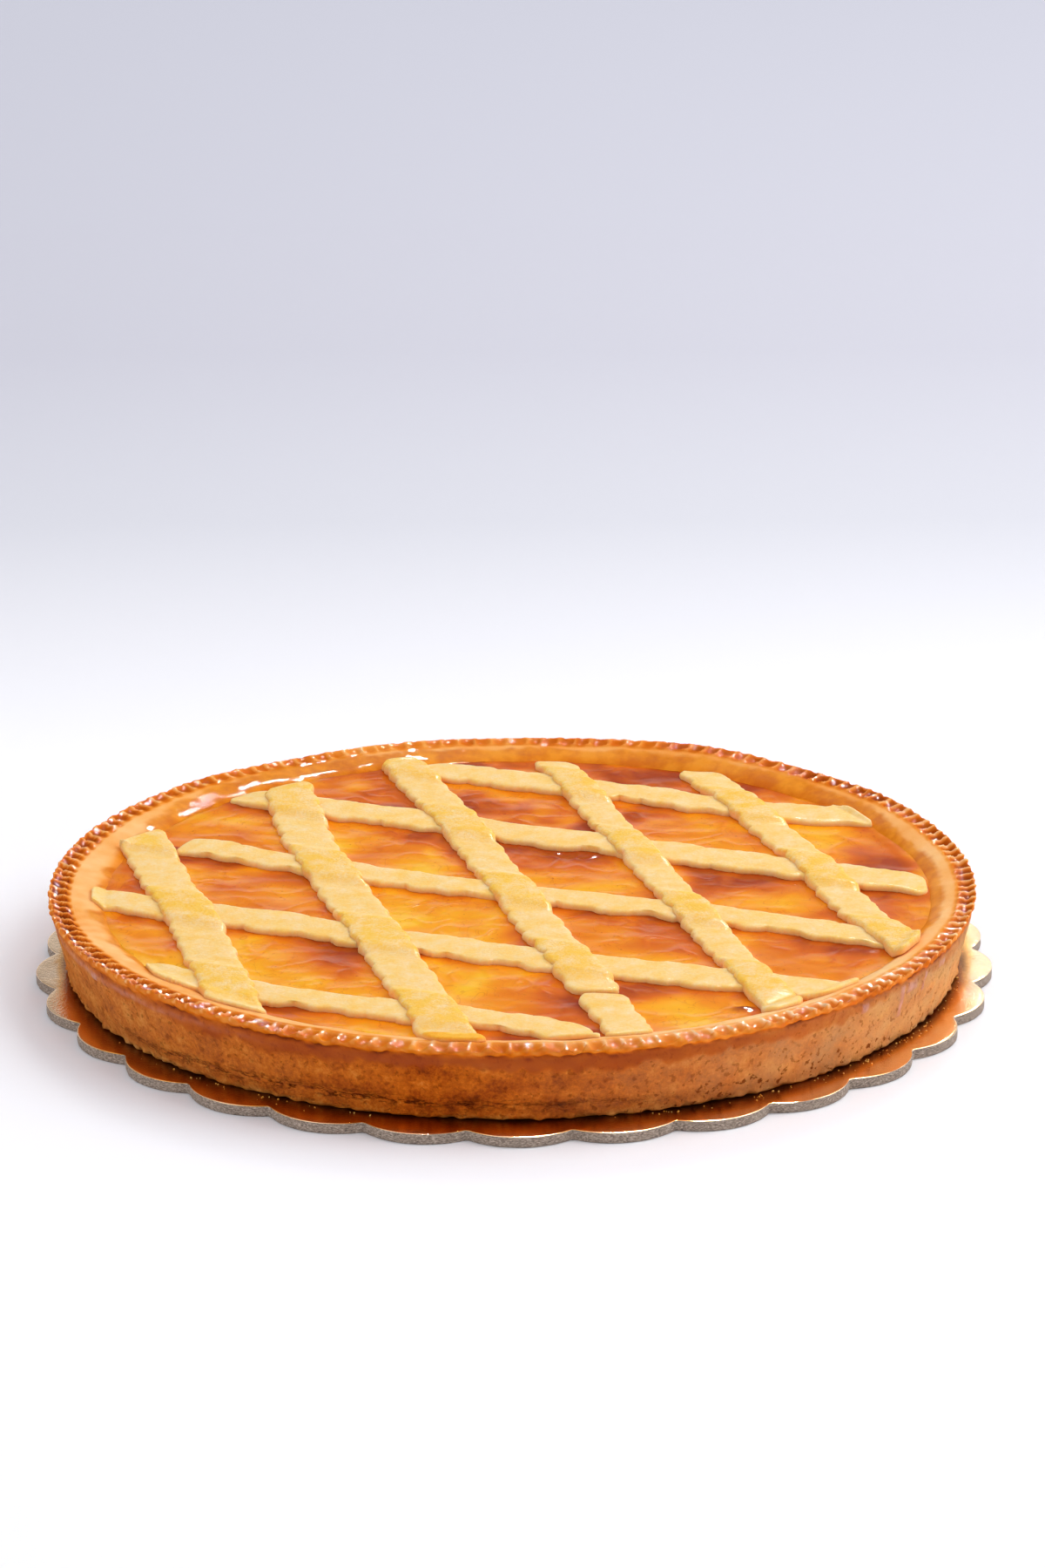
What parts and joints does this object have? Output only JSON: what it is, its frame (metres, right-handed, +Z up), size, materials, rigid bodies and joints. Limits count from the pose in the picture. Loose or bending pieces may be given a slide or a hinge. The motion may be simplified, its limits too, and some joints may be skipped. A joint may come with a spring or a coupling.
{
  "type": "apricot crostata",
  "caption": "Round apricot jam tart in a crimped shortcrust shell, with a crossed lattice of fluted pastry strips over the jam, resting on a gold scalloped cake card.",
  "frame": {"origin": "middle of the cake card's underside, on the surface that it rests on", "axes": "+Z up; -Y is the front that the picture shows, +X is to its right"},
  "size_m": [0.2794, 0.2803, 0.0285],
  "materials": {
    "gold_foil_card": null,
    "baked_crust": null,
    "apricot_jam": null,
    "pale_lattice": null
  },
  "bodies": {
    "root": {"cake_card": "gold_foil_card", "crust_shell": "baked_crust", "apricot_jam": "apricot_jam", "strip_lower_1": "pale_lattice", "strip_lower_2": "pale_lattice", "strip_lower_3": "pale_lattice", "strip_lower_4": "pale_lattice", "strip_lower_5": "pale_lattice", "strip_upper_1": "pale_lattice", "strip_upper_2": "pale_lattice", "strip_upper_3": "pale_lattice", "strip_upper_4": "pale_lattice", "strip_upper_5": "pale_lattice", "strip_broken_end": "pale_lattice"}
  },
  "joints": []
}
